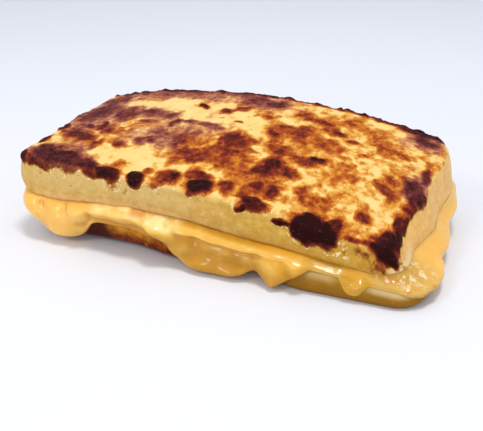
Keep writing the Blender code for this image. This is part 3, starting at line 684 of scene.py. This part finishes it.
class Nodes:
    """A material's nodes, made one line at a time."""

    def __init__(self, name):
        self.material = bpy.data.materials.new(name)
        self.material.use_nodes = True
        self.tree = self.material.node_tree
        self.shader = self.tree.nodes["Principled BSDF"]
        self.place = self.add("ShaderNodeTexCoord").outputs["Object"]

    def add(self, kind, **properties):
        made = self.tree.nodes.new(kind)
        for key, value in properties.items():
            setattr(made, key, value)
        return made

    def put(self, socket, value):
        if isinstance(value, bpy.types.NodeSocket):
            self.tree.links.new(value, socket)
        elif isinstance(value, tuple) and len(value) == 3 and len(socket.default_value) == 4:
            socket.default_value = (*value, 1)
        else:
            socket.default_value = value

    def attribute(self, name):
        return self.add("ShaderNodeAttribute", attribute_name=name).outputs["Fac"]

    def noise(self, size_mm, detail=3, roughness=0.55, stretch=None):
        made = self.add("ShaderNodeTexNoise")
        place = self.place
        if stretch:
            mapping = self.add("ShaderNodeMapping")
            self.put(mapping.inputs["Vector"], place)
            mapping.inputs["Scale"].default_value = stretch
            place = mapping.outputs["Vector"]
        self.put(made.inputs["Vector"], place)
        made.inputs["Scale"].default_value = 1000 / size_mm
        made.inputs["Detail"].default_value = detail
        made.inputs["Roughness"].default_value = roughness
        return made.outputs["Fac"]

    def math(self, operation, a, b=0):
        made = self.add("ShaderNodeMath", operation=operation)
        self.put(made.inputs[0], a)
        self.put(made.inputs[1], b)
        return made.outputs[0]

    def times(self, value, *others):
        for other in others:
            value = self.math("MULTIPLY", value, other)
        return value

    def plus(self, a, b):
        return self.math("ADD", a, b)

    def spread(self, value, low, high, to_low=0, to_high=1):
        """Soft step of a value from to_low, at low and below, to to_high, at high and above."""
        made = self.add("ShaderNodeMapRange", interpolation_type="SMOOTHSTEP")
        for socket, number in zip(made.inputs, (value, low, high, to_low, to_high)):
            self.put(socket, number)
        return made.outputs[0]

    def swing(self, value, amount):
        """A noise between 0 and 1 as unevenness about 0."""
        return self.times(self.math("SUBTRACT", value, 0.5), amount)

    def fade(self, value, low, high):
        """1 below low, falling to 0 at high."""
        return self.spread(value, low, high, 1, 0)

    def window(self, value, rise_from, rise_to, fall_from, fall_to):
        """1 between rise_to and fall_from, 0 outside rise_from and fall_to."""
        return self.times(self.spread(value, rise_from, rise_to), self.fade(value, fall_from, fall_to))

    def ramp(self, value, stops):
        """Colour of a value, from stops that each give a place and a colour."""
        made = self.add("ShaderNodeValToRGB")
        points = made.color_ramp.elements
        while len(points) < len(stops):
            points.new(0.5)
        for point, (place, colour) in zip(points, stops):
            point.position = place
            point.color = (*colour, 1)
        self.put(made.inputs[0], value)
        return made.outputs["Color"]

    def mix(self, share, a, b, blend="MIX"):
        made = self.add("ShaderNodeMix", data_type="RGBA", blend_type=blend)
        self.put(made.inputs[0], share)
        self.put(made.inputs[6], a)
        self.put(made.inputs[7], b)
        return made.outputs[2]

    def coats(self, colour, *coats):
        """Colour under coats, each with its share and its colour."""
        for share, coat in coats:
            colour = self.mix(share, colour, coat)
        return colour

    def bump(self, height, distance_mm, strength=1):
        made = self.add("ShaderNodeBump")
        made.inputs["Strength"].default_value = strength
        made.inputs["Distance"].default_value = distance_mm * MM
        self.put(made.inputs["Height"], height)
        self.put(self.shader.inputs["Normal"], made.outputs["Normal"])

    def set(self, **values):
        """Inputs of the shader, with an underscore for each space in their names."""
        for key, value in values.items():
            self.put(self.shader.inputs[key.replace("_", " ")], value)

    def scatter(self, weight, radius):
        """Light that spreads under the surface."""
        self.set(Subsurface_Weight=weight, Subsurface_Scale=SCATTER, Subsurface_Radius=radius)


def crust_material():
    """Browned top and pale moist sides of the upper slice, with painted glints in the char and along its lower
    edges, and painted light on the sides.
    """
    n = Nodes("browned_crust")
    char, ash, top = n.attribute("char"), n.attribute("ash"), n.attribute("top")
    around, height = n.attribute("around"), n.attribute("height")
    fine, grit = n.noise(1.5, 4, 0.66), n.noise(0.7, 2)
    speckle = n.plus(n.swing(fine, 0.62), n.swing(grit, 0.24))
    reach = n.times(n.spread(char, 0.02, 0.35, 0.25, 1), n.spread(char, 0.8, 1.1, 1, 0.7))
    level = n.plus(char, n.times(speckle, reach))
    cream = n.ramp(n.noise(6, 3), ((0.3, (0.82, 0.55, 0.17)), (0.7, (0.86, 0.65, 0.26))))
    sides = n.ramp(around, (
        (0, (0.7, 0.43, 0.125)), (0.1, (0.62, 0.375, 0.116)), (0.2, (0.55, 0.32, 0.05)),
        (0.3, (0.5, 0.268, 0.018)), (0.345, (0.85, 0.49, 0.155)), (0.5, (0.94, 0.57, 0.205)),
        (0.62, (0.7, 0.41, 0.105)), (1, (0.7, 0.43, 0.105)),
    ))
    pale = n.spread(n.noise(5, 3, stretch=(1, 1, 2.5)), 0.35, 0.7, 0, 0.5)
    blotch = n.noise(1.9, 4, 0.62, stretch=(1, 1, 0.8))
    right = n.window(around, 0.32, 0.345, 0.5, 0.56)
    dark = n.times(n.spread(blotch, 0.46, 0.72, 0, 0.44), n.spread(right, 0, 1, 1, 0.35))
    shaded = n.times(n.spread(height, 0, 0.5, 0.14, 0), n.spread(around, 0.16, 0.2), n.fade(right, 0, 1))
    upper = n.math("MAXIMUM", n.fade(around, 0.12, 0.18), n.spread(around, 0.85, 0.95))
    upper = n.times(upper, n.spread(height, 0.3, 0.65, 0, 0.5))
    # Painted reflected light: the foot of the left part of the front side is lightened.
    foot = n.times(n.spread(height, 0.05, 0.42, 0.45, 0), n.fade(around, 0.13, 0.2))
    mottle = n.spread(n.noise(2.4, 4, 0.65), 0.35, 0.65)
    pits = n.times(n.spread(n.noise(2.8, 1), 0.7, 0.75), 0.7)
    # Paler front right corner: partly the slice's own pale colour, partly a painted wet highlight.
    corner = n.times(n.window(around, 0.308, 0.322, 0.34, 0.36), n.fade(height, 0.4, 0.9))
    blistered = n.times(corner_blisters(n, around), n.fade(height, 0.75, 1))
    sides = n.coats(
        sides,
        (n.times(pale, n.spread(around, 0.17, 0.26, 1, 0.5)), (0.8, 0.53, 0.18)),
        (dark, (0.42, 0.2, 0.022)),
        (n.spread(blotch, 0.28, 0.48, 0.26, 0), (0.9, 0.64, 0.27)),
        (upper, (0.61, 0.46, 0.185)),
        (foot, (0.92, 0.64, 0.32)),
        (shaded, (0.46, 0.245, 0.025)),
        (n.times(mottle, 0.3), (0.52, 0.27, 0.04)),
        (pits, (0.42, 0.17, 0.03)),
        (n.times(corner, 0.8), (0.92, 0.69, 0.38)),
        (blistered, (0.5, 0.2, 0.035)),
    )
    ground = n.mix(n.spread(top, 0.25, 0.95), sides, cream)
    browning = n.ramp(level, (
        (0.1, (0.8, 0.56, 0.18)), (0.2, (0.78, 0.41, 0.08)), (0.34, (0.66, 0.23, 0.025)),
        (0.49, (0.49, 0.112, 0.015)), (0.62, (0.3, 0.048, 0.014)), (0.79, (0.13, 0.016, 0.011)),
        (0.97, (0.026, 0.004, 0.004)),
    ))
    ashy = n.ramp(level, (
        (0.1, (0.82, 0.57, 0.23)), (0.22, (0.72, 0.39, 0.16)), (0.37, (0.52, 0.22, 0.105)),
        (0.54, (0.32, 0.105, 0.072)), (0.75, (0.15, 0.03, 0.03)), (0.99, (0.028, 0.005, 0.006)),
    ))
    browning = n.mix(n.times(ash, 0.8), browning, ashy)
    burnt = n.ramp(level, (
        (0.12, (0.58, 0.32, 0.05)), (0.34, (0.36, 0.125, 0.02)), (0.5, (0.2, 0.04, 0.012)),
        (0.74, (0.085, 0.01, 0.007)), (0.95, (0.022, 0.003, 0.003)),
    ))
    browning = n.mix(n.spread(top, 0.15, 0.75), burnt, browning)
    # Painted glints: pale greyish flecks in the char stand in for oil glints.
    painted_char_glints = n.times(n.spread(n.noise(0.9, 3), 0.62, 0.74), n.spread(level, 0.8, 1, 0, 0.4))
    browning = n.mix(painted_char_glints, browning, (0.16, 0.13, 0.17))
    colour = n.mix(n.spread(level, 0.08, n.spread(top, 0.2, 0.8, 0.4, 0.22)), ground, browning)
    # Painted glints: pale specks along the lower edges of the char on the sides.
    painted_fringe_glints = n.times(n.window(char, 0.02, 0.1, 0.22, 0.42), n.fade(top, 0.6, 0.95),
                     n.fade(around, 0.268, 0.282), n.spread(n.noise(1.1, 2), 0.52, 0.62, 0, 0.7))
    colour = n.mix(painted_fringe_glints, colour, (0.95, 0.74, 0.42))
    rough = n.plus(n.spread(level, 0.2, 0.6, 0.34, 0.62), n.spread(level, 0.75, 1, 0, -0.22))
    n.set(Base_Color=colour, Roughness=rough, IOR=1.4, Specular_IOR_Level=0.055)
    n.scatter(0.1, (1, 0.5, 0.2))
    crag = n.times(n.plus(fine, n.times(grit, 0.6)), n.spread(level, 0.1, 0.7, 0.3, 1))
    n.bump(crag, 0.7, 0.9)
    return n.material


def corner_blisters(n, around):
    """Small browned blisters where the two slices meet at the front right corner."""
    place = n.window(around, 0.296, 0.306, 0.328, 0.338)
    return n.times(place, n.spread(n.noise(2.6, 2, 0.6), 0.51, 0.61, 0, 0.85))


def cheese_material():
    """Glossy melted cheese, with painted shade deepening its colour where it hangs thick and in its hollows, and
    painted highlights on its crests and ridge.
    """
    n = Nodes("melted_cheese")
    around, fall = n.attribute("around"), n.attribute("fall")
    lobe, thick = n.attribute("lobe"), n.attribute("thick")
    base = n.ramp(around, (
        (0, (0.84, 0.45, 0.09)), (0.045, (0.86, 0.46, 0.09)), (0.075, (0.84, 0.46, 0.06)),
        (0.12, (0.78, 0.42, 0.038)), (0.17, (0.68, 0.34, 0.02)), (0.225, (0.72, 0.36, 0.025)),
        (0.27, (0.66, 0.36, 0.04)), (0.33, (0.84, 0.45, 0.07)), (0.4, (0.9, 0.48, 0.09)), (1, (0.9, 0.49, 0.09)),
    ))
    # Painted shade: the middle lobe is darkened where it hangs and where the cheese is thin at its edges.
    painted_shade_tone = n.mix(1, base, (0.66, 0.6, 0.42), "MULTIPLY")
    painted_crease_shade = n.spread(thick, 1.2, 3.4, 0.64, 0)
    shade = n.times(n.spread(fall, 0.25, 0.5), n.spread(fall, 0.8, 1, 1, 0.5), lobe)
    middle_lobe = n.window(around, 0.1, 0.14, 0.19, 0.215)
    share = n.times(n.math("MAXIMUM", n.times(shade, 0.85), painted_crease_shade), middle_lobe)
    pale = n.spread(n.noise(5, 3, 0.5), 0.45, 0.75, 0, 0.35)
    # Painted light and shade: crests of the folds are lightened, hollows between them darkened.
    raised = n.attribute("raised")
    merged = n.window(around, 0.235, 0.26, 0.47, 0.5)
    behind = n.window(around, 0.45, 0.5, 0.94, 0.97)
    painted_hollow_shade = n.times(n.spread(raised, -0.9, -0.05, 0.4, 0), n.math("SUBTRACT", 1, merged),
                   n.spread(behind, 0, 1, 1, 0.22))
    ridge = n.window(around, 0.05, 0.07, 0.125, 0.145)
    # Painted highlight along the top of the ridge.
    painted_ridge_highlight = n.times(n.fade(fall, 0.14, 0.4), n.spread(n.noise(4.5, 2, 0.5), 0.38, 0.62, 0.25, 0.9))
    # Painted shade: the lower parts of the middle cheese are darkened where they curve under.
    under = n.times(n.window(around, 0.125, 0.15, 0.265, 0.29), n.spread(fall, 0.3, 0.9, 0, 0.9))
    patch = n.window(around, 0.262, 0.27, 0.285, 0.295)
    film = n.times(n.window(around, 0.232, 0.249, 0.325, 0.36), n.math("SUBTRACT", 1, patch))
    # The film's own colour, lighter towards its lower edge as a painted highlight.
    film_tone_and_highlight = n.mix(n.fade(fall, 0.05, 0.5), (0.66, 0.39, 0.08), (0.5, 0.28, 0.028))
    # Painted shadow: darker orange at the top of the cheese under the upper slice's edge, right of the ridge.
    amber = n.times(n.window(around, 0.09, 0.097, 0.104, 0.112), n.spread(fall, 0.08, 0.3, 0.75, 0))
    scorch = n.times(n.window(around, 0.286, 0.3, 0.312, 0.326), n.spread(fall, 0.1, 0.55, 0.8, 0))
    edge = n.times(n.window(around, 0.046, 0.058, 0.105, 0.118), n.spread(fall, 0.35, 0.95))
    specks = n.times(n.window(around, 0.296, 0.306, 0.338, 0.352),
                     n.spread(n.noise(2.2, 2, 0.5), 0.52, 0.68, 0, 0.6), n.fade(fall, 0.35, 0.65))
    orange = n.spread(n.noise(8, 2, 0.5), 0.55, 0.75, 0, 0.35)
    colour = n.coats(
        n.mix(share, base, painted_shade_tone),
        (pale, (0.95, 0.62, 0.16)),
        (n.spread(raised, 0.1, 0.9, 0, 0.25), (0.95, 0.62, 0.17)),
        (painted_hollow_shade, (0.46, 0.165, 0.008)),
        (n.times(ridge, painted_ridge_highlight), (1, 0.78, 0.36)),
        (n.times(ridge, n.spread(fall, 0.26, 0.52, 0, 0.62)), (0.56, 0.28, 0.02)),
        (under, (0.5, 0.225, 0.004)),
        (n.times(film, 0.85), film_tone_and_highlight),
        (n.times(patch, 0.9), (0.66, 0.31, 0.018)),
        (amber, (0.58, 0.22, 0.02)),
        (scorch, (0.47, 0.2, 0.01)),
        (n.times(edge, 0.85), (0.55, 0.24, 0.018)),
        (corner_blisters(n, around), (0.58, 0.22, 0.025)),
        (specks, (1, 0.86, 0.58)),
        (orange, (0.8, 0.34, 0.025)),
    )
    rough = n.spread(n.noise(3, 2), 0.3, 0.7, 0.26, 0.4)
    n.set(Base_Color=colour, Roughness=rough, IOR=1.42, Specular_IOR_Level=0.24)
    n.scatter(0.15, (1, 0.45, 0.12))
    n.set(Coat_Weight=0.3, Coat_Roughness=0.12)
    n.bump(n.noise(3.2, 2, 0.45, stretch=(1, 1, 0.6)), 0.3, 0.35)
    return n.material


def lower_material():
    """Pale moist side of the lower slice, browned and darkened with painted shade towards the underside and at
    the left, with painted wet highlights at the front right.
    """
    n = Nodes("slice_side")
    around, height = n.attribute("around"), n.attribute("height")
    pale = n.ramp(n.noise(5, 3), ((0.3, (0.29, 0.13, 0.007)), (0.7, (0.37, 0.18, 0.012))))
    pale = n.mix(n.spread(height, 0.6, 1, 0, 0.5), pale, (0.44, 0.25, 0.03))
    # Painted wet highlight on the top of the lower slice.
    pale = n.mix(n.times(n.attribute("painted_wet_highlight"), 0.38), pale, (0.88, 0.72, 0.42))
    rise = n.plus(height, n.swing(n.noise(4, 3), 0.6))
    golden = n.ramp(n.noise(3, 3, 0.6), ((0.35, (0.44, 0.15, 0.008)), (0.6, (0.7, 0.32, 0.022))))
    # Golden browning turning maroon near the foot at the left: browned crust darkened with painted shadow.
    maroon_crust_and_shade = n.ramp(n.noise(2.2, 3, 0.6), ((0.35, (0.05, 0.005, 0.002)), (0.6, (0.25, 0.04, 0.004))))
    browned = n.mix(n.fade(rise, 0.34, 0.9), golden, maroon_crust_and_shade)
    # Darker towards the bottom: partly the browned underside, partly painted contact shade.
    low = n.spread(rise, 0.05, 0.8, 0.95, 0)
    left = n.fade(around, 0.115, 0.155)
    # Painted shadow in the notch between the left lobe and the ridge.
    painted_notch_shadow = n.window(around, 0.03, 0.04, 0.054, 0.07)
    spots = n.spread(n.noise(2.6, 1), 0.7, 0.75, 0, 0.6)
    colour = n.coats(
        n.mix(low, pale, (0.27, 0.115, 0.01)),
        (n.times(n.spread(around, 0.44, 0.54), 0.6), browned),
        (left, browned),
        (spots, (0.5, 0.17, 0.03)),
        (n.times(painted_notch_shadow, n.spread(rise, 0.7, 1.1, 1, 0.5)), (0.06, 0.007, 0.003)),
    )
    n.set(Base_Color=colour, Roughness=0.34, IOR=1.42, Specular_IOR_Level=0.09)
    n.scatter(0.1, (1, 0.5, 0.2))
    n.bump(n.plus(n.noise(1.5, 3), n.times(n.noise(0.5, 2), 0.4)), 0.35, 0.5)
    return n.material


def floor():
    n = Nodes("pale_floor")
    tone = n.ramp(n.noise(200, 2), ((0.3, (0.79, 0.81, 0.86)), (0.7, (0.8, 0.82, 0.87))))
    n.set(Base_Color=tone, Roughness=0.75)
    mesh = bpy.data.meshes.new("floor")
    half = 2
    mesh.from_pydata([(-half, -half, 0), (half, -half, 0), (half, half, 0), (-half, half, 0)], [], [(0, 1, 2, 3)])
    made = added("floor", mesh)
    made.data.materials.append(n.material)


# Camera: focal length in picture widths, downward angle, level heading, place in metres
FOCAL_WIDTHS, SENSOR = 680 / 483, 36
DOWN = math.radians(26.93)
HEADING = (-0.3449, 0.9386)
CAMERA_PLACE = (0.079875, -0.219022, 0.122)
# Soft lights: name, place and size in metres, power, colour
LIGHTS = (
    ("key", (0.1, -0.05, 0.75), 0.16, 2.3, (1, 0.99, 0.97)),
    ("front_fill", (-0.28, -0.85, 0.24), 0.14, 0.8, (1, 0.98, 0.95)),
    ("left_fill", (-0.3, -0.55, 0.55), 0.18, 0.9, (1, 0.99, 0.97)),
)
LIT_PLACE = Vector((0, 0, 0.02))
SKY, SKY_STRENGTH = (0.83, 0.85, 0.9, 1), 0.86


def aimed(name, data, place, look):
    """Object for a camera or a light, at a place and looking along a direction."""
    made = added(name, data)
    made.matrix_world = Matrix.Translation(place) @ look.to_track_quat("-Z", "Y").to_matrix().to_4x4()
    return made


def camera():
    data = bpy.data.cameras.new("camera")
    data.lens = FOCAL_WIDTHS * SENSOR
    data.sensor_width = SENSOR
    data.sensor_fit = "HORIZONTAL"
    data.clip_start = 0.01
    look = Vector((HEADING[0] * math.cos(DOWN), HEADING[1] * math.cos(DOWN), -math.sin(DOWN)))
    bpy.context.scene.camera = aimed("camera", data, Vector(CAMERA_PLACE), look)


def light():
    world = bpy.data.worlds.new("studio")
    bpy.context.scene.world = world
    world.use_nodes = True
    back = world.node_tree.nodes["Background"]
    back.inputs["Color"].default_value = SKY
    back.inputs["Strength"].default_value = SKY_STRENGTH
    for name, place, size, power, colour in LIGHTS:
        data = bpy.data.lights.new(name, "AREA")
        data.shape = "DISK"
        data.size = size
        data.energy = power
        data.color = colour
        aimed(name, data, Vector(place), LIT_PLACE - Vector(place))
    bpy.context.scene.view_settings.view_transform = "Standard"


def main():
    top_slice()
    cheese()
    bottom_slice()
    floor()
    camera()
    light()


main()
